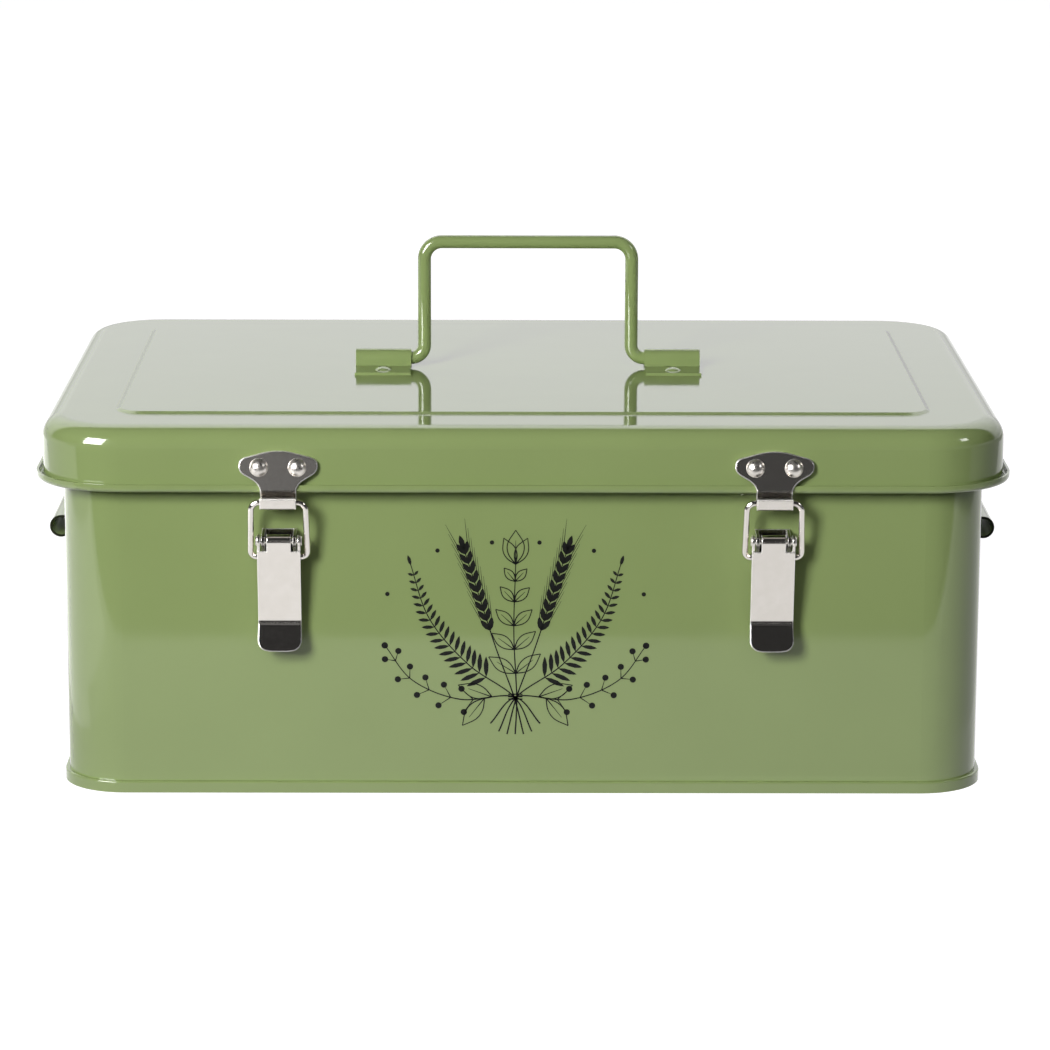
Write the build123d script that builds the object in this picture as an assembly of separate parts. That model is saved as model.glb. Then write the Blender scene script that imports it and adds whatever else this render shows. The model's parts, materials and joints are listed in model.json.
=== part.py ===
from build123d import *
import math
import os

# Garden seed organizer box: an enamelled sheet-steel box with a hinged lid, a folding wire handle on
# the lid, a rolled grip on each end and two draw latches on the front.
# Millimetres. +Z up, front toward -Y, origin at the middle of the underside.

# ---- box body -------------------------------------------------------------------------------------
body_width = 332.0
body_depth = 220.0
body_corner = 22.0  # outer plan radius of the wall
sheet = 0.8  # enamelled sheet
seam_height = 4.2  # double seam round the foot
seam_proud = 1.5
floor_raise = 2.6  # the floor is set up above the seam, so only the seam meets the table
rim_tube = 4.4  # outward curl along the top of the wall
rim_curl = 270.0  # degrees that the curl turns

# ---- lid ------------------------------------------------------------------------------------------
lid_bottom = 112.6
lid_height = 23.0
skirt_out = 7.3  # outer face of the skirt beyond the wall
lid_edge = 7.5  # rounded top edge
hem_out = 2.5  # hem beyond the skirt
hem_height = 2.9
panel_margin = 27.6  # skirt to the crease of the raised panel
panel_corner = 8.0
panel_raise = 0.8
panel_slope = 1.6
seat_gap = 0.3  # curved faces of different bodies stay this far apart
lean_seat = 0.05  # gap where a leaning plate's top edge rests on the skirt
hem_pass = 0.35  # gap between the hem and a hinge leaf that passes it
keeper_pass = 0.55  # wider for the keeper, which leans over the hem

# ---- rivets ---------------------------------------------------------------------------------------
rivet_fit = 0.05
bore_length = 8.0  # tool length, through every stack of sheets
bracket_rivet = dict(head=3.3, rise=1.2, shank=1.5, tail=2.2, tail_rise=0.8)
keeper_rivet = dict(head=3.3, rise=2.1, shank=1.5, tail=2.3, tail_rise=0.8)
wall_rivet = dict(head=3.0, rise=1.4, shank=1.5, tail=2.3, tail_rise=0.8)

# ---- wire handle on the lid -----------------------------------------------------------------------
handle_wire = 5.0
handle_shift = 2.1  # the handle sits this far right of the middle
handle_width = 83.5  # over the legs
handle_top = 187.0
handle_bend = 6.6  # centre-line radius of the upper corners
handle_turn = 5.0  # centre-line radius where the legs turn into the brackets
wire_lift = 1.1  # gap from the lid panel to the wire
bracket_sheet = 1.0
bracket_start = 44.3  # inner end of each bracket from the middle
bracket_length = 21.0
bracket_reach = 18.0  # flange edge from the wire's centre line
bracket_rivet_reach = 11.0
bracket_bend = 1.2
wire_fit = 0.08
wire_end_inset = 1.3

# ---- rolled grips on the ends ---------------------------------------------------------------------
grip_length = 84.0
grip_sheet = 0.9
grip_tube = 8.3
grip_out = 6.4  # tube centre beyond the wall
grip_drop = 29.2  # tube centre below the hem
grip_curl = 260.0
grip_bend = 2.5
grip_flange_top = 24.0  # above the tube's centre
grip_flange_corner = 7.0
grip_rivet_up = 15.0
grip_rivet_apart = 54.0

# ---- rear hinges ----------------------------------------------------------------------------------
hinge_apart = 180.0
hinge_width = 36.0
hinge_sheet = 1.2
hinge_pin = 2.4
hinge_fit = 0.06
hinge_gap = 0.2  # between knuckles
hinge_middle = 13.6
hinge_drop = 1.6  # pin below the hem
hinge_leaf_rise = 20.0  # lid leaf above the pin
hinge_lean_rise = 0.5  # bend of the lid leaf above the hem
hinge_leaf_drop = 32.0  # body leaf below the pin
hinge_joggle_top = 3.0
hinge_joggle_drop = 12.0
hinge_curl = 280.0
hinge_bend = 1.6
hinge_corner = 4.0
hinge_rivet_apart = 22.0
hinge_lid_rivet_inset = 7.0  # from the leaf's upper edge
hinge_wall_rivet_inset = 8.0  # from the leaf's lower edge

# ---- draw latches ---------------------------------------------------------------------------------
latch_apart = 176.0
latch_shift = 0.9  # the pair sits this far right of the middle
latch_sheet = 1.0
keeper_sheet = 0.9
keeper_width = 28.0
keeper_neck = 12.8
keeper_leaf = 12.1  # leaf above the hem's upper edge
keeper_wide_drop = 5.1  # widest point below the leaf's tip
keeper_neck_rise = 1.6  # top of the neck above the hem's lower edge
keeper_bend_rise = 0.9
keeper_step = 1.8  # the hook steps back in under the hem
keeper_step_drop = 2.3
keeper_hook_width = 4.9
keeper_lip_rise = 2.1  # lip above the bar's centre
keeper_lip_lean = 0.7  # the lip leans out at its top
keeper_hook_bend = 1.4
keeper_rivet_apart = 13.6
keeper_rivet_drop = 5.7  # below the leaf's tip

link_wire = 2.25
link_top_width = 21.6
link_foot_width = 22.6
link_bar_drop = 3.0  # bar's centre below the hem
link_rise = 20.6  # bar above the link's pivot
link_bar_gap = 0.3
link_top_bend = 3.2
link_foot_bend = 2.2
link_seat_gap = 0.2
link_end = 0.3  # wire end beyond the lever's flange

latch_pin = 2.4
latch_pin_fit = 0.06
latch_pin_out = 8.6  # pin centre in front of the wall
latch_pin_head = 1.7
latch_pin_head_length = 0.4
pivot_drop = 6.1  # link pivot below the pin when closed
pivot_back = 1.7  # and behind it, so the latch closes over centre
pivot_fit = 0.08

lever_width = 15.4
lever_tip_width = 15.7
lever_length = 40.5  # pin to tip
lever_lean = 9.5  # degrees that the closed lever leans in toward its tip
lever_flare_length = 9.9
lever_flare_out = 4.0
lever_flare_bend = 6.0
lever_tip_corner = 3.6
lever_tip_bow = 1.1  # the tip's lower edge bows down in its middle
lever_knuckle = 8.6
lever_slot = 3.6  # slots end below the pin
lever_curl = 280.0
lever_flange_wall = 1.1  # sheet left round the link's hole, beyond its edge
lever_flange_tail = 5.35  # flange below the link's hole

ear_inner = 10.0  # clear width between the ears of the base bracket
ear_sheet = 1.2
ear_nose = 2.1
ear_rise = 2.75  # above the pin
ear_drop = 11.55
base_drop = 27.55  # base plate below the pin
base_corner = 3.0
base_rivet_inset = 4.6  # lower rivet above the plate's end
base_rivet_apart = 7.4

# ---- dividers inside ------------------------------------------------------------------------------
divider_sheet = 0.8
divider_height = 84.0
divider_gap = 0.3
divider_foot = 8.0
divider_tab_height = 50.0
divider_slot_fit = 0.1
cross_dividers = 3

# ---- worked out from the sizes above --------------------------------------------------------------
front = -body_depth / 2
lid_top = lid_bottom + lid_height
skirt_in = skirt_out - sheet
rim_middle = rim_tube / 2 - sheet  # middle of the rim's tube beyond the wall
panel_top = lid_top + panel_raise
floor_top = floor_raise + sheet
lid_width = body_width + 2 * skirt_out
lid_depth = body_depth + 2 * skirt_out
handle_axis = panel_top + wire_lift + handle_wire / 2
handle_leg = handle_width / 2 - handle_wire / 2
bracket_middle = bracket_start + bracket_length / 2
hem_edge = skirt_out + hem_out

# The rim's tube lies seat_gap inside the round of the lid's edge.
edge_in = lid_edge - sheet
edge_middle = skirt_in - edge_in
rim_reach = edge_in - rim_tube / 2 - seat_gap
rim_height = lid_top - lid_edge + math.sqrt(rim_reach**2 - (rim_middle - edge_middle) ** 2)

grip_height = lid_bottom - grip_drop
hinge_height = lid_bottom - hinge_drop
hinge_leaf_top = hinge_height + hinge_leaf_rise
hinge_lean_start = lid_bottom + hem_height + hinge_lean_rise
hinge_knuckle = hinge_pin / 2 + hinge_fit + hinge_sheet / 2
hinge_leaf_out = hem_edge + hem_pass + hinge_sheet / 2  # leaf centre line where it passes the hem
hinge_out = hinge_leaf_out + hinge_knuckle
hinge_y = -front + hinge_out

latch_y = front - latch_pin_out
keeper_top = lid_bottom + hem_height + keeper_leaf
keeper_wide_height = keeper_top - keeper_wide_drop
keeper_neck_height = lid_bottom + keeper_neck_rise
keeper_bend_height = lid_bottom + keeper_bend_rise
keeper_rivet_height = keeper_top - keeper_rivet_drop
keeper_lip_height = lid_bottom - link_bar_drop + keeper_lip_rise
keeper_out = hem_edge + keeper_pass + keeper_sheet / 2  # keeper centre line at its bend
hook_face = keeper_out + keeper_sheet / 2 - keeper_step
link_bar_height = lid_bottom - link_bar_drop
bar_out = hook_face + link_bar_gap + link_wire / 2
pivot_out = latch_pin_out - pivot_back
pivot_height = link_bar_height - link_rise
latch_pin_height = pivot_height + pivot_drop
lever_tip_height = latch_pin_height - lever_length
lever_flare_height = lever_tip_height + lever_flare_length
lever_slot_bottom = latch_pin_height - lever_slot
base_bottom = latch_pin_height - base_drop
ear_top = latch_pin_height + ear_rise


# ---- helpers --------------------------------------------------------------------------------------
def bent(*points):
    """Centre line through points of (x, y) or (x, y, bend radius), as lines and tangent arcs."""
    edges = []
    here = Vector(*points[0][:2])
    for i in range(1, len(points) - 1):
        corner = Vector(*points[i][:2])
        before = (corner - Vector(*points[i - 1][:2])).normalized()
        after = (Vector(*points[i + 1][:2]) - corner).normalized()
        turn = math.radians(before.get_angle(after))
        back = points[i][2] * math.tan(turn / 2)
        start = corner - before * back
        end = corner + after * back
        out = (after - before).normalized()
        middle = corner + out * (points[i][2] / math.cos(turn / 2) - points[i][2])
        if (start - here).length > 1e-6:
            edges.append(Line(here, start))
        edges.append(ThreePointArc(start, middle, end))
        here = end
    edges.append(Line(here, Vector(*points[-1][:2])))
    return Curve() + edges


def on_section(sketch):
    """A sketch drawn as (y, z), stood up in the plane x = 0."""
    return Plane.YZ * sketch


def strip(line, thickness, width):
    """Sheet of the given thickness along a (y, z) centre line, centred on x = 0."""
    return extrude(on_section(trace(line, line_width=thickness)), width / 2, both=True)


def plan(offset):
    """The body's plan outline, grown by offset."""
    return RectangleRounded(body_width + 2 * offset, body_depth + 2 * offset, body_corner + offset)


def slab(offset, low, high):
    return Pos(0, 0, low) * extrude(plan(offset), high - low)


def around(section):
    """Carry a section round the plan outline. It is drawn as (distance beyond the wall, z)."""
    face = Plane.XZ * (Pos(body_corner, 0) * section)
    run_x = body_width / 2 - body_corner
    run_y = body_depth / 2 - body_corner
    side = extrude(face, run_y, both=True)
    end = extrude(face, run_x, both=True)
    turn = revolve(face, Axis.Z, 90)
    if turn.center().Y < 0:
        turn = Rot(0, 0, 90) * turn
    parts = [Pos(run_x, 0) * side, Pos(-run_x, 0) * Rot(0, 0, 180) * side]
    parts += [Pos(0, run_y) * Rot(0, 0, 90) * end, Pos(0, -run_y) * Rot(0, 0, 270) * end]
    corners = [(run_x, run_y), (-run_x, run_y), (-run_x, -run_y), (run_x, -run_y)]
    parts += [Pos(x, y) * Rot(0, 0, 90 * i) * turn for i, (x, y) in enumerate(corners)]
    return Part() + parts


def cap(radius, rise, base, up):
    """Arc of a shallow dome from its rim at (radius, base) to its crown on the axis."""
    ball = (radius**2 + rise**2) / (2 * rise)
    half = math.asin(radius / ball) / 2
    middle = (ball * math.sin(half), base + up * (rise - ball + ball * math.cos(half)))
    return ThreePointArc((radius, base), middle, (0, base + up * rise))


def rivet(grip, head, rise, shank, tail, tail_rise):
    """Domed rivet along Z: the head sits on z = 0, the shank passes the grip, and the tail is set below."""
    outline = cap(head, rise, 0, 1) + Line((head, 0), (shank, 0)) + Line((shank, 0), (shank, -grip))
    outline += Line((shank, -grip), (tail, -grip)) + cap(tail, tail_rise, -grip, -1)
    outline += Line((0, -grip - tail_rise), (0, rise))
    return revolve(Plane.XZ * make_face(outline), Axis.Z)


def bore(radius, length):
    return Cylinder(radius, length)


def leaning(top, foot, foot_out, thickness):
    """A plate whose top edge rests on the skirt and whose foot passes the hem.

    Gives its lean in degrees and a function for the outward distance of its centre line at a height."""
    run = foot_out - skirt_out - lean_seat - thickness / 2
    lean = math.degrees(math.atan2(run, top - foot))
    return lean, lambda height: foot_out - (height - foot) * run / (top - foot)


def riveted(x, apart, height, out, lean, side):
    """Two rivet seats on a plate's outer face, out from the wall; side is -1 at the front, 1 at the rear."""
    turn = Rot(-90 * side, 0, 0) * Rot(side * lean, 0, 0)
    y = side * (body_depth / 2 + out)
    return [Pos(x + offset, y, height) * turn for offset in (-apart / 2, apart / 2)]


def leaning_grip(out, lean, tail):
    """Rivet length from a leaning plate's outer face, out from the wall, to a tail inside the skirt."""
    return (out - skirt_in) / math.cos(math.radians(lean)) + tail * math.tan(math.radians(lean))


def trimmed(sheet_form, outline):
    """A folded sheet trimmed to its outline as seen along Y, which is drawn as (x, z)."""
    return sheet_form & extrude(Plane.XZ * outline, body_depth, both=True)


def tab(width, low, high, radius, rounded_end):
    """Rectangle from z = low to high with two rounded corners at its low (0) or high (-1) end."""
    outline = Pos(0, (low + high) / 2) * Rectangle(width, high - low)
    return fillet(outline.vertices().group_by(Axis.Y)[rounded_end], radius)


# ---- body -----------------------------------------------------------------------------------------
def make_body_wall():
    curl = rim_tube / 2 - sheet / 2
    line = Line((-sheet / 2, sheet), (-sheet / 2, rim_height))
    line += CenterArc((rim_middle, rim_height), curl, 180, -rim_curl)
    return around(trace(line, line_width=sheet))


def make_base_pan():
    floor = slab(-sheet - sheet, floor_raise, floor_top)
    inner_leg = Pos(-1.5 * sheet, (floor_top + 0) / 2) * Rectangle(sheet, floor_top)
    web = Pos((seam_proud - 2 * sheet) / 2, sheet / 2) * Rectangle(seam_proud + 2 * sheet, sheet)
    bead = Pos(seam_proud / 2, seam_height / 2) * Rectangle(seam_proud, seam_height)
    bead = fillet(bead.vertices().sort_by(Axis.X)[2:], seam_proud * 0.45)
    return around(inner_leg + web + bead) + floor


# ---- lid ------------------------------------------------------------------------------------------
def lid_form(offset):
    """Solid block with the lid's outer shape, drawn in by offset."""
    body = slab(skirt_out - offset, lid_bottom + hem_height / 2, lid_top - offset)
    body = fillet(body.faces().sort_by(Axis.Z)[-1].edges(), lid_edge - offset)
    grow = panel_slope
    width = lid_width - 2 * panel_margin
    depth = lid_depth - 2 * panel_margin
    low = RectangleRounded(width + 2 * grow, depth + 2 * grow, panel_corner + grow)
    high = RectangleRounded(width, depth, panel_corner)
    panel = loft([Pos(0, 0, lid_top - offset) * low.face(), Pos(0, 0, panel_top - offset) * high.face()])
    return body + panel


def make_lid():
    inside = lid_form(sheet)
    mouth = slab(skirt_in, lid_bottom, lid_bottom + hem_height)
    shell = lid_form(0) - inside - mouth
    fold = hem_out / 2
    inner = skirt_out - sheet / 2
    low = lid_bottom + fold + sheet / 2
    top = lid_bottom + hem_height
    line = Line((inner, top), (inner, low)) + CenterArc((inner + fold, low), fold, 180, 180)
    line += Line((inner + 2 * fold, low), (inner + 2 * fold, top))
    lid = shell + around(trace(line, line_width=sheet))
    for place in bracket_rivet_places():
        lid -= place * bore(bracket_rivet["shank"] + rivet_fit, bore_length)
    for x in latch_places():
        for place in keeper_rivet_places(x):
            lid -= place * bore(keeper_rivet["shank"] + rivet_fit, bore_length)
    for x in hinge_places():
        for place in hinge_lid_rivet_places(x):
            lid -= place * bore(wall_rivet["shank"] + rivet_fit, bore_length)
    return lid


# ---- wire handle ----------------------------------------------------------------------------------
def make_top_handle():
    bar = handle_top - handle_wire / 2
    end = bracket_start + bracket_length - wire_end_inset
    line = bent(
        (-end, handle_axis),
        (-handle_leg, handle_axis, handle_turn),
        (-handle_leg, bar, handle_bend),
        (handle_leg, bar, handle_bend),
        (handle_leg, handle_axis, handle_turn),
        (end, handle_axis),
    )
    path = Plane.XZ * line
    start = Plane(origin=(-end, 0, handle_axis), z_dir=(1, 0, 0))
    return Pos(handle_shift, 0, 0) * sweep(start * Circle(handle_wire / 2), path=path)


def bracket_places():
    return (handle_shift - bracket_middle, handle_shift + bracket_middle)


def bracket_rivet_places():
    top = panel_top + bracket_sheet
    return [Pos(x, y, top) for x in bracket_places() for y in (-bracket_rivet_reach, bracket_rivet_reach)]


def make_handle_bracket(x):
    saddle = handle_wire / 2 + wire_fit + bracket_sheet / 2
    flange = panel_top + bracket_sheet / 2
    right = bent((saddle, handle_axis), (saddle, flange, bracket_bend), (bracket_reach, flange))
    left = bent((-saddle, handle_axis), (-saddle, flange, bracket_bend), (-bracket_reach, flange))
    line = left + CenterArc((0, handle_axis), saddle, 180, -180) + right
    bracket = Pos(x, 0, 0) * strip(line, bracket_sheet, bracket_length)
    for place in bracket_rivet_places():
        bracket -= place * bore(bracket_rivet["shank"] + rivet_fit, bore_length)
    return bracket


# ---- rolled grips ---------------------------------------------------------------------------------
def grip_rivet_places(side):
    x = side * (body_width / 2 + grip_sheet)
    height = grip_height + grip_rivet_up
    spots = (-grip_rivet_apart / 2, grip_rivet_apart / 2)
    return [Pos(x, y, height) * Rot(0, 90 * side, 0) for y in spots]


def make_side_handle(side):
    tube = grip_tube / 2 - grip_sheet / 2
    wall = grip_sheet / 2
    top = grip_height + tube
    line = bent((wall, grip_height + grip_flange_top), (wall, top, grip_bend), (grip_out, top))
    line += CenterArc((grip_out, grip_height), tube, 90, -grip_curl)
    face = Plane.XZ * trace(line, line_width=grip_sheet)
    grip = extrude(face, grip_length / 2, both=True)
    outline = tab(grip_length, grip_height - grip_tube, grip_height + grip_flange_top, grip_flange_corner, -1)
    grip = Pos(body_width / 2, 0, 0) * (grip & extrude(Plane.YZ * outline, 2 * grip_out + grip_tube, both=True))
    if side < 0:
        grip = Rot(0, 0, 180) * grip
    for place in grip_rivet_places(side):
        grip -= place * bore(wall_rivet["shank"] + rivet_fit, bore_length)
    return grip


# ---- rear hinges ----------------------------------------------------------------------------------
def hinge_places():
    return (-hinge_apart / 2, hinge_apart / 2)


def hinge_face():
    """Lean of the lid leaf, and the outward distance of its outer face at the rivets."""
    lean, middle = leaning(hinge_leaf_top, hinge_lean_start, hinge_leaf_out, hinge_sheet)
    return lean, middle(hinge_leaf_top - hinge_lid_rivet_inset) + hinge_sheet / 2 / math.cos(math.radians(lean))


def hinge_lid_rivet_places(x):
    lean, out = hinge_face()
    return riveted(x, hinge_rivet_apart, hinge_leaf_top - hinge_lid_rivet_inset, out, lean, 1)


def hinge_wall_rivet_places(x):
    height = hinge_height - hinge_leaf_drop + hinge_wall_rivet_inset
    return riveted(x, hinge_rivet_apart, height, hinge_sheet, 0, 1)


def knuckle_clear(low, high):
    """Room for the other leaf's knuckle between x = low and x = high."""
    middle = Pos((low + high) / 2, hinge_y, hinge_height)
    return middle * Rot(0, 90, 0) * Cylinder(hinge_knuckle + hinge_sheet, high - low)


def make_hinge_lid_leaf(x):
    y = -front + hinge_leaf_out
    top = -front + leaning(hinge_leaf_top, hinge_lean_start, hinge_leaf_out, hinge_sheet)[1](hinge_leaf_top)
    line = bent((top, hinge_leaf_top), (y, hinge_lean_start, hinge_bend), (y, hinge_height))
    line += CenterArc((hinge_y, hinge_height), hinge_knuckle, 180, hinge_curl)
    leaf = strip(line, hinge_sheet, hinge_width)
    low = hinge_height - hinge_drop - 2 * hinge_pin
    leaf = trimmed(leaf, tab(hinge_width, low, hinge_leaf_top, hinge_corner, -1))
    gap = hinge_middle / 2 + hinge_gap
    leaf -= knuckle_clear(-gap, gap)
    leaf = Pos(x, 0, 0) * leaf
    for place in hinge_lid_rivet_places(x):
        leaf -= place * bore(wall_rivet["shank"] + rivet_fit, bore_length)
    return leaf


def make_hinge_body_leaf(x):
    y = -front + hinge_leaf_out
    wall = -front + hinge_sheet / 2
    joggle = hinge_height - hinge_joggle_top
    low = joggle - hinge_joggle_drop
    line = bent(
        (y, hinge_height),
        (y, joggle, hinge_bend),
        (wall, low, hinge_bend),
        (wall, hinge_height - hinge_leaf_drop),
    )
    line += CenterArc((hinge_y, hinge_height), hinge_knuckle, 180, -hinge_curl)
    leaf = strip(line, hinge_sheet, hinge_width)
    bottom = hinge_height - hinge_leaf_drop
    leaf = trimmed(leaf, tab(hinge_width, bottom, hinge_height + 2 * hinge_pin, hinge_corner, 0))
    side = (hinge_width - hinge_middle) / 2
    for centre in (-1, 1):
        middle = centre * (hinge_middle + side) / 2
        leaf -= knuckle_clear(middle - side / 2, middle + side / 2)
    leaf = Pos(x, 0, 0) * leaf
    for place in hinge_wall_rivet_places(x):
        leaf -= place * bore(wall_rivet["shank"] + rivet_fit, bore_length)
    return leaf


def make_hinge_pin(x):
    return Pos(x, hinge_y, hinge_height) * Rot(0, 90, 0) * Cylinder(hinge_pin / 2, hinge_width)


# ---- draw latches ---------------------------------------------------------------------------------
def latch_places():
    return (latch_shift - latch_apart / 2, latch_shift + latch_apart / 2)


def keeper_face():
    """Lean of the keeper's leaf, and the outward distance of its outer face at the rivets."""
    lean, middle = leaning(keeper_top, keeper_bend_height, keeper_out, keeper_sheet)
    return lean, middle(keeper_rivet_height) + keeper_sheet / 2 / math.cos(math.radians(lean))


def keeper_rivet_places(x):
    lean, out = keeper_face()
    return riveted(x, keeper_rivet_apart, keeper_rivet_height, out, lean, -1)


def keeper_outline():
    """Front view of the keeper: a pointed leaf above a straight neck."""
    half = keeper_width / 2
    neck = keeper_neck / 2
    low = link_bar_height - link_wire - keeper_sheet
    line = Line((neck, low), (neck, keeper_neck_height))
    line += Spline(
        (neck, keeper_neck_height),
        (half * 0.8, keeper_neck_height + (keeper_wide_height - keeper_neck_height) * 0.55),
        (half, keeper_wide_height),
        tangents=[(0.3, 1), (0, 1)],
    )
    line += Spline(
        (half, keeper_wide_height),
        (half * 0.74, keeper_wide_height + (keeper_top - keeper_wide_height) * 0.62),
        (0, keeper_top),
        tangents=[(0, 1), (-1, 0)],
    )
    line += mirror(line, Plane.YZ)
    line += Line((-neck, low), (neck, low))
    return make_face(line)


def make_keeper(x):
    half = keeper_sheet / 2
    hook = front - hook_face + half
    lip = hook - keeper_hook_width - keeper_sheet
    low = link_bar_height - link_wire / 2 - link_seat_gap - half
    above = keeper_top + keeper_sheet
    top = leaning(keeper_top, keeper_bend_height, keeper_out, keeper_sheet)[1](above)
    line = bent(
        (front - top, above),
        (front - keeper_out, keeper_bend_height, keeper_sheet),
        (hook, keeper_bend_height - keeper_step_drop, keeper_sheet),
        (hook, low, keeper_hook_bend),
        (lip + keeper_lip_lean, low, keeper_hook_bend),
        (lip, keeper_lip_height),
    )
    keeper = Pos(x, 0, 0) * trimmed(strip(line, keeper_sheet, keeper_width), keeper_outline())
    for place in keeper_rivet_places(x):
        keeper -= place * bore(keeper_rivet["shank"] + rivet_fit, bore_length)
    return keeper


def link_plane(x):
    """Plane of the wire loop: its origin is at the link's pivot and its y runs up to the bar."""
    start = Vector(x, front - pivot_out, pivot_height)
    up = Vector(x, front - bar_out, link_bar_height) - start
    across = Vector(1, 0, 0)
    return Plane(origin=start, x_dir=across, z_dir=across.cross(up)), up.length


def make_link(x):
    plane, reach = link_plane(x)
    end = lever_width / 2 - latch_sheet - link_end
    foot = (link_foot_width - link_wire) / 2
    top = (link_top_width - link_wire) / 2
    line = bent(
        (-end, 0),
        (-foot, 0, link_foot_bend),
        (-top, reach, link_top_bend),
        (top, reach, link_top_bend),
        (foot, 0, link_foot_bend),
        (end, 0),
    )
    path = plane * line
    start = Plane(origin=plane.from_local_coords(Vector(-end, 0, 0)), z_dir=(-1, 0, 0))
    return sweep(start * Circle(link_wire / 2), path=path)


def lever_outline():
    """Front view of the lever: knuckle, two slots beside it for the ears, and a wider tip."""
    half = lever_width / 2
    tip = lever_tip_width / 2
    corner = lever_tip_height + lever_tip_bow
    line = Polyline(
        (-tip, corner),
        (-half, lever_flare_height),
        (-half, lever_slot_bottom),
        (half, lever_slot_bottom),
        (half, lever_flare_height),
        (tip, corner),
    )
    line += ThreePointArc((-tip, corner), (0, lever_tip_height), (tip, corner))
    plate = make_face(line)
    plate = fillet(plate.vertices().group_by(Axis.Y)[0], lever_tip_corner)
    top = latch_pin_height + latch_pin + latch_sheet
    knuckle = Rectangle(lever_knuckle, top - lever_slot_bottom)
    return plate + Pos(0, (top + lever_slot_bottom) / 2 - latch_sheet) * knuckle


def make_lever(x):
    radius = latch_pin / 2 + latch_pin_fit + latch_sheet / 2
    lean = math.radians(lever_lean)
    top = (latch_y - radius * math.cos(lean), latch_pin_height - radius * math.sin(lean))

    def face(height):
        return top[0] + (top[1] - height) * math.tan(lean)

    line = bent(
        (face(lever_flare_height) - lever_flare_out, lever_tip_height),
        (face(lever_flare_height), lever_flare_height, lever_flare_bend),
        top,
    )
    line += CenterArc((latch_y, latch_pin_height), radius, 180 + lever_lean, -lever_curl)
    plate = strip(line, latch_sheet, lever_tip_width)
    plate = trimmed(plate, lever_outline())
    round_hole = link_wire / 2 + pivot_fit + lever_flange_wall
    back = front - pivot_out + round_hole
    bottom = pivot_height - lever_flange_tail
    boss = Pos(latch_y, latch_pin_height) * Circle(radius + latch_sheet / 2)
    web = Polyline(
        top,
        (face(bottom), bottom),
        (face(bottom) + latch_sheet, bottom),
        (back, pivot_height - round_hole),
        (back, pivot_height + round_hole),
        (latch_y + radius + latch_sheet / 2, latch_pin_height),
        close=True,
    )
    flange = boss + make_face(web)
    flange -= Pos(latch_y, latch_pin_height) * Circle(latch_pin / 2 + latch_pin_fit)
    flange -= Pos(front - pivot_out, pivot_height) * Circle(link_wire / 2 + pivot_fit)
    flange = extrude(on_section(flange), latch_sheet)
    inner = lever_width / 2 - latch_sheet
    lever = plate + Pos(inner, 0, 0) * flange + Pos(-inner - latch_sheet, 0, 0) * flange
    return Pos(x, 0, 0) * lever


def base_rivet_places(x):
    low = base_bottom + base_rivet_inset
    return [riveted(x, 0, height, latch_sheet, 0, -1)[0] for height in (low, low + base_rivet_apart)]


def make_latch_base(x):
    width = ear_inner + 2 * ear_sheet
    plate = tab(width, base_bottom, ear_top, base_corner, 0)
    plate = Pos(0, front, 0) * extrude(Plane.XZ * plate, latch_sheet)
    nose = Pos(latch_y, latch_pin_height) * Circle(ear_nose)
    wall = front - latch_sheet / 2
    cheek = Polyline(
        (wall, ear_top),
        (latch_y, latch_pin_height + ear_nose),
        (latch_y, latch_pin_height - ear_nose),
        (wall, latch_pin_height - ear_drop),
        close=True,
    )
    ear = nose + make_face(cheek) - Pos(latch_y, latch_pin_height) * Circle(latch_pin / 2 + rivet_fit)
    ear = extrude(on_section(ear), ear_sheet)
    base = plate + Pos(ear_inner / 2, 0, 0) * ear + Pos(-ear_inner / 2 - ear_sheet, 0, 0) * ear
    base = Pos(x, 0, 0) * base
    for place in base_rivet_places(x):
        base -= place * bore(wall_rivet["shank"] + rivet_fit, bore_length)
    return base


def make_latch_pin(x):
    length = lever_width + 2 * rivet_fit * 2
    pin = Cylinder(latch_pin / 2, length)
    head = Pos(0, 0, length / 2 + latch_pin_head_length / 2) * Cylinder(latch_pin_head, latch_pin_head_length)
    pin = pin + head + Rot(0, 180, 0) * head
    return Pos(x, latch_y, latch_pin_height) * Rot(0, 90, 0) * pin


# ---- dividers -------------------------------------------------------------------------------------
def cross_divider_places():
    pitch = (body_width - 2 * sheet) / (cross_dividers + 1)
    return [pitch * (i - (cross_dividers - 1) / 2) for i in range(cross_dividers)]


def make_long_divider():
    length = body_width - 2 * sheet - 2 * divider_gap
    top = floor_top + divider_height
    plate = Pos(0, 0, (floor_top + top) / 2) * Box(length, divider_sheet, divider_height)
    plate = fillet(plate.edges().filter_by(Axis.Y).group_by(Axis.Z)[-1], divider_foot)
    foot = Pos(0, divider_foot / 2, floor_top + divider_sheet / 2)
    plate += foot * Box(length - 2 * body_corner, divider_foot, divider_sheet)
    slot = divider_height / 2
    for x in cross_divider_places():
        cut = Pos(x, 0, top - slot / 2)
        plate -= cut * Box(divider_sheet + 2 * divider_slot_fit, 2 * divider_sheet, slot)
    return plate


def make_cross_divider(x):
    depth = body_depth - 2 * sheet - 2 * divider_gap
    low = floor_top + divider_sheet + divider_gap
    top = floor_top + divider_height
    plate = Pos(0, 0, (low + top) / 2) * Box(divider_sheet, depth, top - low)
    slot = top - divider_height / 2 + divider_slot_fit - low
    plate -= Pos(0, 0, low + slot / 2) * Box(2 * divider_sheet, divider_sheet + 2 * divider_slot_fit, slot)
    for side in (-1, 1):
        tab = Pos(divider_foot / 2, side * (depth - divider_sheet) / 2, low + divider_tab_height / 2)
        plate += tab * Box(divider_foot, divider_sheet, divider_tab_height)
    return Pos(x, 0, 0) * plate


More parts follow.
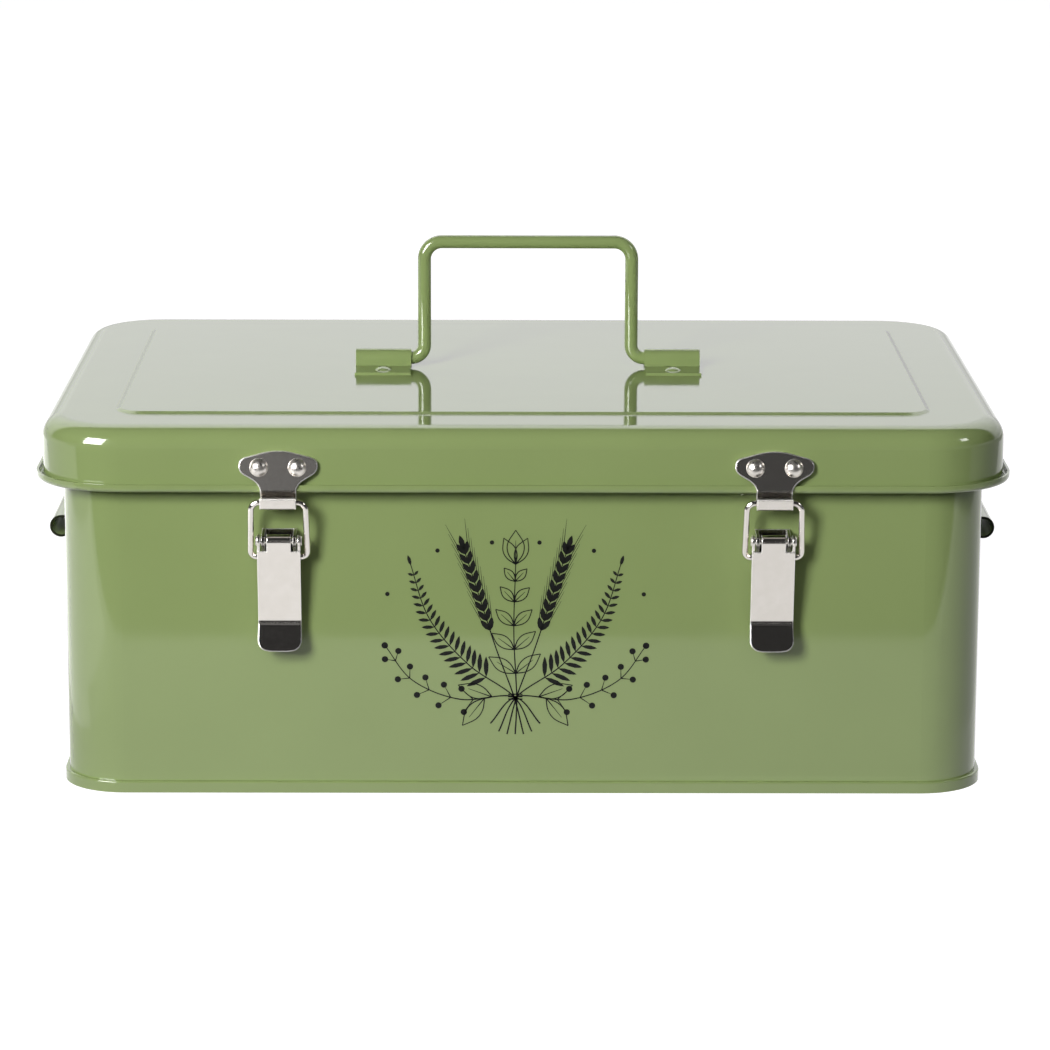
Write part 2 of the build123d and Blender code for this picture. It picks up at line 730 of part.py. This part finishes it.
# ---- build ----------------------------------------------------------------------------------------
def wall_holes():
    holes = []
    for side in (-1, 1):
        holes += grip_rivet_places(side)
    for x in hinge_places():
        holes += hinge_wall_rivet_places(x)
    for x in latch_places():
        holes += base_rivet_places(x)
    return holes


def grouped(places, grip, sizes):
    return Compound(children=[place * rivet(grip, **sizes) for place in places])


body_wall = make_body_wall()
for hole in wall_holes():
    body_wall -= hole * bore(wall_rivet["shank"] + rivet_fit, bore_length)

nodes = {
    "body_wall": body_wall,
    "base_pan": make_base_pan(),
    "lid": make_lid(),
    "long_divider": make_long_divider(),
    "top_handle": make_top_handle(),
}
for number, x in enumerate(cross_divider_places(), 1):
    nodes[f"cross_divider_{number}"] = make_cross_divider(x)

keeper_grip = leaning_grip(keeper_face()[1], keeper_face()[0], keeper_rivet["tail"])
hinge_lid_grip = leaning_grip(hinge_face()[1], hinge_face()[0], wall_rivet["tail"])
rivet_groups = {"keeper_rivets": [], "hinge_lid_rivets": [], "hinge_body_rivets": []}
rivet_groups.update({"latch_base_rivets": [], "side_handle_rivets": []})
pairs = zip(("left", "right"), (-1, 1), bracket_places(), hinge_places(), latch_places())
for name, side, bracket_x, hinge_x, latch_x in pairs:
    nodes[f"handle_bracket_{name}"] = make_handle_bracket(bracket_x)
    nodes[f"side_handle_{name}"] = make_side_handle(side)
    nodes[f"hinge_lid_leaf_{name}"] = make_hinge_lid_leaf(hinge_x)
    nodes[f"hinge_body_leaf_{name}"] = make_hinge_body_leaf(hinge_x)
    nodes[f"hinge_pin_{name}"] = make_hinge_pin(hinge_x)
    nodes[f"keeper_{name}"] = make_keeper(latch_x)
    nodes[f"latch_link_{name}"] = make_link(latch_x)
    nodes[f"latch_lever_{name}"] = make_lever(latch_x)
    nodes[f"latch_base_{name}"] = make_latch_base(latch_x)
    nodes[f"latch_pin_{name}"] = make_latch_pin(latch_x)
    rivet_groups["keeper_rivets"] += keeper_rivet_places(latch_x)
    rivet_groups["latch_base_rivets"] += base_rivet_places(latch_x)
    rivet_groups["hinge_lid_rivets"] += hinge_lid_rivet_places(hinge_x)
    rivet_groups["hinge_body_rivets"] += hinge_wall_rivet_places(hinge_x)
    rivet_groups["side_handle_rivets"] += grip_rivet_places(side)

nodes["bracket_rivets"] = grouped(bracket_rivet_places(), bracket_sheet + sheet, bracket_rivet)
nodes["keeper_rivets"] = grouped(rivet_groups["keeper_rivets"], keeper_grip, keeper_rivet)
nodes["hinge_lid_rivets"] = grouped(rivet_groups["hinge_lid_rivets"], hinge_lid_grip, wall_rivet)
nodes["hinge_body_rivets"] = grouped(rivet_groups["hinge_body_rivets"], hinge_sheet + sheet, wall_rivet)
nodes["latch_base_rivets"] = grouped(rivet_groups["latch_base_rivets"], latch_sheet + sheet, wall_rivet)
nodes["side_handle_rivets"] = grouped(rivet_groups["side_handle_rivets"], grip_sheet + sheet, wall_rivet)

os.makedirs("parts", exist_ok=True)
for name, shape in nodes.items():
    export_step(shape, f"parts/{name}.step")
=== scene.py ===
import json
import math

import bmesh
import bpy
from mathutils import Matrix, Vector


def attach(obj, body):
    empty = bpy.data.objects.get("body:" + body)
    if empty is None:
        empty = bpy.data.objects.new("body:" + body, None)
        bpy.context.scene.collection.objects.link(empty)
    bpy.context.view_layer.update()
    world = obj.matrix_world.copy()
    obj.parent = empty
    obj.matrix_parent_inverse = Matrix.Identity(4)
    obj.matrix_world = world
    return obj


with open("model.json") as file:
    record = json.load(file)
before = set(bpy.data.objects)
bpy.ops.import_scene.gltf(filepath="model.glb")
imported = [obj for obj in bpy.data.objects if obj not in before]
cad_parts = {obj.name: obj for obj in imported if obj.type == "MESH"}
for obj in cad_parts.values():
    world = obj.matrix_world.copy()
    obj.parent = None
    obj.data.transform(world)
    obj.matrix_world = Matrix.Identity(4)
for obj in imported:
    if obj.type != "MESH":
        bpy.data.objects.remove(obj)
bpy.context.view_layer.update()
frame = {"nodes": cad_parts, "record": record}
nodes = frame["nodes"]

# ---- materials ---------------------------------------------------------------------------
GREEN_DARK, GREEN_LIGHT = (0.273, 0.354, 0.134), (0.283, 0.366, 0.14)
# near-black painted shade for the front ends of the rolled grips, where the inside of the open
# tube is dark
PAINTED_END_SHADE = (0.02, 0.024, 0.012)
NICKEL_DARK, NICKEL_LIGHT = (0.685, 0.65, 0.605), (0.71, 0.675, 0.635)
# near-white colour for the rounded rims of the steel parts: a painted highlight
RIM_HIGHLIGHT_WHITE = (0.97, 0.95, 0.92)
INK_DARK, INK_LIGHT = (0.004, 0.004, 0.004), (0.01, 0.01, 0.009)


def new_material(name, **sockets):
    """A principled material with constants on its sockets, and a helper that adds nodes."""
    mat = bpy.data.materials.new(name)
    mat.use_nodes = True
    tree = mat.node_tree
    shader = tree.nodes["Principled BSDF"]
    for socket, value in sockets.items():
        shader.inputs[socket.replace("_", " ")].default_value = value

    def add(kind, links=(), **settings):
        node = tree.nodes.new("ShaderNode" + kind)
        for key, value in settings.items():
            if hasattr(node, key):
                setattr(node, key, value)
            else:
                node.inputs[key.replace("_", " ")].default_value = value
        for source, target in links:
            tree.links.new(source, node.inputs[target])
        return node

    return mat, shader, tree.links.new, add


def noise(add, place, scale, detail=2.0):
    """Fractal noise of the given scale, in lumps per metre."""
    node = add("TexNoise", [(place.outputs["Object"], "Vector")], Scale=scale, Detail=detail)
    return node.outputs["Fac"]


def spread(add, value, start, end, low, high):
    """A value that runs from low to high as the given one runs from start to end."""
    limits = {"From_Min": start, "From_Max": end, "To_Min": low, "To_Max": high}
    return add("MapRange", [(value, "Value")], **limits).outputs["Result"]


def vary(add, fac, low, high):
    """Noise spread from low to high."""
    return spread(add, fac, 0.3, 0.7, low, high)


def blend(add, fac, dark, light):
    """A colour between two others; the first may also be the output of a node."""
    node = add("Mix", [(fac, 0)], data_type="RGBA")
    for place, colour in ((6, dark), (7, light)):
        if isinstance(colour, bpy.types.NodeSocket):
            node.id_data.links.new(colour, node.inputs[place])
        else:
            node.inputs[place].default_value = (*colour, 1)
    return node.outputs[2]


def enamel(name, shade_painted_ends=False):
    """Glossy baked enamel, faintly cloudy, with orange peel; faces turned to the front may get
    a near-black painted shade.
    """
    mat, shader, link, add = new_material(name, IOR=1.54)
    place = add("TexCoord")
    colour = blend(add, vary(add, noise(add, place, 26), 0, 1), GREEN_DARK, GREEN_LIGHT)
    if shade_painted_ends:
        # Painted shade: faces turned to the front, the open ends of the rolled grips, take a
        # near-black colour for the dark inside of the tube.
        normal = add("NewGeometry").outputs["Normal"]
        facing = add("SeparateXYZ", [(normal, "Vector")]).outputs["Y"]
        colour = blend(add, spread(add, facing, -0.9, -0.97, 0, 1), colour, PAINTED_END_SHADE)
    link(colour, shader.inputs["Base Color"])
    link(vary(add, noise(add, place, 90), 0.05, 0.085), shader.inputs["Roughness"])
    peel = noise(add, place, 330, 1)
    bump = add("Bump", [(peel, "Height")], Strength=0.35, Distance=0.00002)
    link(bump.outputs["Normal"], shader.inputs["Normal"])
    return mat


def steel(name, rough, worn, rim, tone=1.0):
    """Nickel plate with fine tumbling marks, and edges rounded by rim whose colour runs towards
    near white as a painted highlight.

    Its roughness varies from rough to rough + worn, and tone darkens the plate as painted
    shade."""
    mat, shader, link, add = new_material(name, Metallic=1.0)
    place = add("TexCoord")
    dark, light = ([tone * part for part in colour] for colour in (NICKEL_DARK, NICKEL_LIGHT))
    plate = blend(add, vary(add, noise(add, place, 260, 3), 0, 1), dark, light)
    edge = add("Bevel", Radius=rim).outputs["Normal"]
    flat = add("NewGeometry").outputs["Normal"]
    tilt = add("VectorMath", [(edge, 0), (flat, 1)], operation="DOT_PRODUCT")
    # Painted highlight: where the bevel rounds an edge, the plate colour runs towards near
    # white so the rims look lit; the same mask also roughens them.
    rim_highlight = spread(add, tilt.outputs["Value"], 0.99, 0.85, 0, 1)
    link(blend(add, rim_highlight, plate, RIM_HIGHLIGHT_WHITE), shader.inputs["Base Color"])
    plain = vary(add, noise(add, place, 900, 4), rough, rough + worn)
    dull = add("Math", [(rim_highlight, 0), (plain, 2)], operation="MULTIPLY_ADD")
    dull.inputs[1].default_value = 0.4
    link(dull.outputs["Value"], shader.inputs["Roughness"])
    marks = [(noise(add, place, 2200, 4), "Height"), (edge, "Normal")]
    bump = add("Bump", marks, Strength=0.4, Distance=0.00001)
    link(bump.outputs["Normal"], shader.inputs["Normal"])
    return mat


def ink():
    """Matt black print, slightly uneven where it lies on the enamel."""
    mat, shader, link, add = new_material("black_print", IOR=1.28)
    place = add("TexCoord")
    cloud = vary(add, noise(add, place, 900, 3), 0, 1)
    link(blend(add, cloud, INK_DARK, INK_LIGHT), shader.inputs["Base Color"])
    link(vary(add, noise(add, place, 1400), 0.3, 0.45), shader.inputs["Roughness"])
    return mat


finishes = {
    "green_enamel": enamel("green_enamel"),
    "latch_steel": steel("latch_steel", rough=0.07, worn=0.05, rim=0.0006),
}
finishes["divider_sheet"] = finishes["green_enamel"]
rivet_steel = steel("rivet_steel", rough=0.24, worn=0.12, rim=0.0003)
keeper_steel = steel("keeper_steel", rough=0.11, worn=0.05, rim=0.0008)
# Painted shade: the latch base plates and ears are darkened to 0.4 of the plate colour for the
# shade behind the knuckle and between the ears.
base_steel_painted_shade = steel("base_steel_painted_shade", rough=0.12, worn=0.08, rim=0.0004, tone=0.4)
grip_enamel = enamel("grip_enamel", shade_painted_ends=True)
special = {"keeper_rivets": rivet_steel, "latch_base_rivets": rivet_steel}
for side in ("left", "right"):
    special["keeper_" + side] = keeper_steel
    special["latch_base_" + side] = base_steel_painted_shade
    special["side_handle_" + side] = grip_enamel
for part in frame["record"]["subparts"]:
    for slot in nodes[part["node"]].material_slots:
        slot.material = special.get(part["node"], finishes[part["material_slot"]])


# ---- printed plants on the front wall ----------------------------------------------------
# Drawn on a sheet whose x and y are the wall's x and z. Lengths are in metres, but those of
# stalks and dots are in millimetres from the middle of the design.
FRONT = -0.11
PRINT_GAP = 0.00004
MIDDLE = Vector((-0.0028, 0.0597))
STALK_PEN, LEAF_PEN, TWIG_PEN, AWN_PEN, BAND_PEN = 0.00056, 0.00045, 0.00042, 0.00028, 0.0005


def smooth(points, steps=10):
    """Points along a Catmull-Rom curve through the given ones."""
    ends = [2 * points[0] - points[1], *points, 2 * points[-1] - points[-2]]
    path = []
    for a, b, c, d in zip(ends, ends[1:], ends[2:], ends[3:]):
        for step in range(steps):
            t = step / steps
            bend, twist = 2 * a - 5 * b + 4 * c - d, 3 * b - a - 3 * c + d
            path.append((2 * b + (c - a) * t + bend * t**2 + twist * t**3) / 2)
    return [*path, points[-1]]


def on_wall(sheet, points):
    return [sheet.verts.new((p.x, FRONT - PRINT_GAP, p.y)) for p in points]


def ribbon(sheet, path, width, taper=0.35):
    """A pen stroke along a path, narrower at its far end."""
    last = len(path) - 1
    sides = []
    for index, point in enumerate(path):
        ahead = path[min(index + 1, last)] - path[max(index - 1, 0)]
        across = Vector((-ahead.y, ahead.x)).normalized()
        half = width / 2 * (1 - (1 - taper) * index / last)
        sides.append(on_wall(sheet, (point - across * half, point + across * half)))
    for (a, b), (c, d) in zip(sides, sides[1:]):
        sheet.faces.new((a, c, d, b))


def line(sheet, start, end, pen):
    ribbon(sheet, [start.lerp(end, k / 4) for k in range(5)], pen)


def disc(sheet, centre, radius, sides=16):
    turns = [math.tau * k / sides for k in range(sides)]
    ring = [centre + radius * Vector((math.cos(turn), math.sin(turn))) for turn in turns]
    sheet.faces.new(on_wall(sheet, ring))


def turned(point, start, angle):
    return start + Matrix.Rotation(angle, 2) @ Vector(point)


def leaf(sheet, start, angle, length, width, veined=True):
    """An outlined pointed leaf that grows from its start at an angle, with a midrib."""
    for side in (1, -1):
        shape = [(0, 0), (0.3, side * 0.42), (0.62, side * 0.46), (1, 0)]
        outline = [turned((x * length, y * width), start, angle) for x, y in shape]
        ribbon(sheet, smooth(outline, 6), LEAF_PEN, 0.8)
    if veined:
        rib = [turned((k * 0.14 * length, 0), start, angle) for k in range(6)]
        ribbon(sheet, rib, LEAF_PEN)


def solid_leaf(sheet, start, angle, length, width):
    """A small filled leaf or grain."""
    upper = [(0.3, 0.4), (0.62, 0.46), (0.86, 0.24)]
    shape = [(0, 0), *upper, (1, 0), *((x, -y) for x, y in reversed(upper))]
    ring = [turned((x * length, y * width), start, angle) for x, y in shape]
    sheet.faces.new(on_wall(sheet, ring))


def along(path, share):
    """Point and heading at a share of a path's length."""
    steps = [b - a for a, b in zip(path, path[1:])]
    left = share * sum(step.length for step in steps)
    for start, step in zip(path, steps):
        if left <= step.length:
            break
        left -= step.length
    return start + step.normalized() * left, math.atan2(step.y, step.x)


def stalk(sheet, side, *points):
    """A tapering stalk through points in millimetres; side is -1 for its mirror image."""
    path = smooth([MIDDLE + Vector((side * x, y)) / 1000 for x, y in points], 14)
    ribbon(sheet, path, STALK_PEN, 0.6)
    return path


def bud(sheet):
    stem = stalk(sheet, 1, (0, -38), (0.5, -24), (-0.6, 0), (0, 25))
    for row, share in enumerate((0.36, 0.5, 0.64, 0.78, 0.9)):
        start, heading = along(stem, share)
        for way in (1, -1):
            angle = heading + way * (0.95 - 0.06 * row)
            leaf(sheet, start, angle, 0.0115 - 0.0013 * row, 0.0046 - 0.0004 * row)
    petals = ((0, 0.0125, 0.0062), (0.42, 0.0105, 0.0046), (-0.42, 0.0105, 0.0046))
    for turn, length, width in petals:
        leaf(sheet, stem[-1], math.pi / 2 + turn, length, width, veined=turn == 0)


def barley_ear(sheet, side):
    stem = stalk(sheet, side, (-3, -38), (0.5, -24), (7, -6), (13, 13), (19, 32))
    for row in range(9):
        start, heading = along(stem, 0.55 + 0.05 * row)
        for way in (1, -1):
            solid_leaf(sheet, start, heading + way * 0.42, 0.0052, 0.0021)
            tip = turned((0.0048, 0), start, heading + way * 0.42)
            line(sheet, tip, turned((0.0085, 0), tip, heading + way * 0.2), AWN_PEN)
    solid_leaf(sheet, *along(stem, 0.97), 0.006, 0.0022)


def fern(sheet, side):
    stem = stalk(sheet, side, (-6, -37), (0.5, -24), (17, -12), (31, 5), (38, 26))
    for row in range(17):
        start, heading = along(stem, 0.34 + 0.037 * row)
        length, width = 0.0078 - 0.00034 * row, 0.0019 - 0.00005 * row
        for way in (1, -1):
            solid_leaf(sheet, start, heading + way * 1.0, length, width)
    solid_leaf(sheet, *along(stem, 0.98), 0.004, 0.0014)


def berry_twig(sheet, side):
    stem = stalk(sheet, side, (-9, -34), (0.5, -24), (20, -25), (37, -18), (47, -5))
    for row, share in enumerate((0.42, 0.54, 0.66, 0.78, 0.9)):
        start, heading = along(stem, share)
        for way in (1, -1):
            tip = turned((0.0058 - 0.0005 * row, 0), start, heading + way * 0.85)
            line(sheet, start, tip, TWIG_PEN)
            disc(sheet, tip, 0.00115)
    disc(sheet, stem[-1], 0.0012)
    for share, turn in ((0.32, 0.5), (0.36, -0.75)):
        start, heading = along(stem, share)
        leaf(sheet, start, heading + side * turn, 0.013, 0.0052)


def print_plants():
    """A tied fan of garden plants: a bud, two barley ears, two ferns and two berry twigs."""
    sheet = bmesh.new()
    bud(sheet)
    for side in (1, -1):
        barley_ear(sheet, side)
        fern(sheet, side)
        berry_twig(sheet, side)
    for level in (-0.9, 0, 0.9):
        band = [MIDDLE + Vector((x, level - 24)) / 1000 for x in (-2.6, -1.3, 0, 1.3, 2.6)]
        ribbon(sheet, band, BAND_PEN, 1)
    for x, y in ((8.5, 33), (28, 30), (46, 14)):
        for side in (1, -1):
            disc(sheet, MIDDLE + Vector((side * x, y)) / 1000, 0.0008)
    mesh = bpy.data.meshes.new("front_print")
    sheet.to_mesh(mesh)
    piece = bpy.data.objects.new("front_print", mesh)
    bpy.context.scene.collection.objects.link(piece)
    mesh.materials.append(ink())
    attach(piece, "box")


print_plants()


# ---- studio ------------------------------------------------------------------------------
# The floor and the backdrop are white to the camera. What the enamel and the steel reflect is
# set apart from what lights them: glossy rays see the cards, the spark lamps and the sky, and
# diffuse rays see the bounce card and the other lamps.
FLOOR, ON_FLOOR, ON_CARDS = 0, 0.0004, 0.0006  # heights of the cards


def rays(piece, *seen_by):
    """Show a card or lamp only to the named kinds of ray: camera, diffuse, glossy or shadow."""
    for kind in ("camera", "diffuse", "glossy", "shadow"):
        setattr(piece, "visible_" + kind, kind in seen_by)


def glow(name, mesh, strength, white, *seen_by):
    """A plain luminous piece of the stage."""
    piece = bpy.data.objects.new(name, mesh)
    bpy.context.scene.collection.objects.link(piece)
    mat, shader, link, add = new_material(name, Emission_Strength=strength, Roughness=1.0)
    shader.inputs["Emission Color"].default_value = (1, 1, 1, 1)
    shader.inputs["Specular IOR Level"].default_value = 0
    shader.inputs["Base Color"].default_value = (white, white, white, 1)
    mesh.materials.append(mat)
    rays(piece, *seen_by)


def card(name, low, high, height, strength, *seen_by, white=0):
    """A level card from corner to corner at a height."""
    outline = [low, (high[0], low[1]), high, (low[0], high[1])]
    mesh = bpy.data.meshes.new(name)
    mesh.from_pydata([(*corner, height) for corner in outline], [], [(0, 1, 2, 3)])
    glow(name, mesh, strength, white, *seen_by)


def softbox(name, place, aim, size, power, *seen_by):
    """A rectangular lamp at a place, turned to its aim."""
    data = bpy.data.lights.new(name, "AREA")
    data.shape = "RECTANGLE"
    data.size, data.size_y = size
    data.energy = power
    lamp = bpy.data.objects.new(name, data)
    lamp.location = place
    lamp.rotation_mode = "QUATERNION"
    lamp.rotation_quaternion = (Vector(aim) - Vector(place)).to_track_quat("-Z", "Y")
    bpy.context.scene.collection.objects.link(lamp)
    rays(lamp, *seen_by)


card("floor", (-12, -12), (12, 12), FLOOR, 1.0, "camera", "glossy", "shadow", white=0.25)
card("bounce", (-12, -12), (12, 12), -0.001, 0.14, "diffuse")
for name, low, high, height, strength in (
    ("dark_front", (-3, -4), (3, -0.34), ON_FLOOR, 0.05),
    ("bright_left", (-2, -0.301), (-0.24, 0.6), ON_FLOOR, 1.9),
    ("dim_right", (0.24, -0.301), (2, 0.6), ON_FLOOR, 0.95),
    ("far_right", (0.62, -0.34), (3, 1.5), ON_CARDS, 0.45),
    ("far_left", (-3, -0.34), (-0.6, 1.5), ON_CARDS, 1.1),
    ("near_left", (-0.3, -0.34), (0, -0.13), ON_FLOOR, 1.07),
    ("near_right", (0, -0.34), (0.3, -0.13), ON_FLOOR, 0.95),
):
    card(name, low, high, height, strength, "glossy")

shell = bmesh.new()
bmesh.ops.create_icosphere(shell, subdivisions=2, radius=40)
backdrop = bpy.data.meshes.new("backdrop")
shell.to_mesh(backdrop)
glow("backdrop", backdrop, 1.0, 0, "camera")

WALL_FRONT, MIDDLE_OF_BOX = (0, -0.1, 0.07), (0, 0, 0.07)
softbox("key", (-0.62, -1.25, 0.65), WALL_FRONT, (0.4, 0.5), 17.8, "diffuse")
softbox("front_fill", (0.4, -3.0, 2.0), MIDDLE_OF_BOX, (3, 2), 13.7, "diffuse")
softbox("rear_left", (-1.3, 1.1, 0.35), MIDDLE_OF_BOX, (0.8, 0.5), 10, "diffuse")
softbox("rear_right", (1.3, 1.1, 0.35), MIDDLE_OF_BOX, (0.8, 0.5), 10, "diffuse")
softbox("spark_left", (-1.16, -1.3, 0.79), WALL_FRONT, (0.9, 0.95), 75, "glossy")
for name, side, power in (("keeper_glow_left", -1, 0.62), ("keeper_glow_right", 1, 0.18)):
    keeper = (side * 0.09, -0.12, 0.12)
    softbox(name, (side * 0.9, -3, 0.62), keeper, (1.6, 0.7), power, "glossy")
softbox("spark_right", (1.3, -0.7, 0.9), MIDDLE_OF_BOX, (0.3, 0.3), 3, "glossy")

world = bpy.data.worlds.new("studio")
bpy.context.scene.world = world
world.cycles_visibility.diffuse = False
world.use_nodes = True
tree = world.node_tree
sky = tree.nodes["Background"]
sky.inputs["Color"].default_value = (1, 1, 1, 1)
split = tree.nodes.new("ShaderNodeSeparateXYZ")
direction = tree.nodes.new("ShaderNodeTexCoord").outputs["Generated"]
tree.links.new(direction, split.inputs[0])


def ramp(axis, start, end, low, high):
    """Strength from low to high as one axis part of the direction runs from start to end."""
    node = tree.nodes.new("ShaderNodeMapRange")
    values = {"From Min": start, "From Max": end, "To Min": low, "To Max": high}
    for socket, value in values.items():
        node.inputs[socket].default_value = value
    tree.links.new(split.outputs[axis], node.inputs["Value"])
    return node.outputs["Result"]


def product(first, second):
    node = tree.nodes.new("ShaderNodeMath")
    node.operation = "MULTIPLY"
    tree.links.new(first, node.inputs[0])
    tree.links.new(second, node.inputs[1])
    return node.outputs[0]


behind_box = ramp("Y", 0.43, 0.5, 0.02, 1.33)
brighter_upward = ramp("Z", 0.25, 0.85, 1.0, 2.4)
dimmer_at_horizon = ramp("Z", 0.02, 0.15, 0.6, 1.0)
strength = product(product(behind_box, brighter_upward), dimmer_at_horizon)
tree.links.new(strength, sky.inputs["Strength"])
bpy.context.scene.view_settings.view_transform = "Standard"

# ---- camera, fitted to the photograph ----------------------------------------------------
CAMERA_PLACE = (-0.00938, -1.59091, 0.42743)
CAMERA_TURNS = ((-0.382, "Z"), (77.5, "X"), (0.181, "Z"))  # degrees: pan, tilt, roll
data = bpy.data.cameras.new("camera")
data.sensor_width = 36
data.lens = 145.49
camera = bpy.data.objects.new("camera", data)
pose = Matrix.Translation(CAMERA_PLACE)
for degrees, axis in CAMERA_TURNS:
    pose = pose @ Matrix.Rotation(math.radians(degrees), 4, axis)
camera.matrix_world = pose
bpy.context.scene.collection.objects.link(camera)
bpy.context.scene.camera = camera
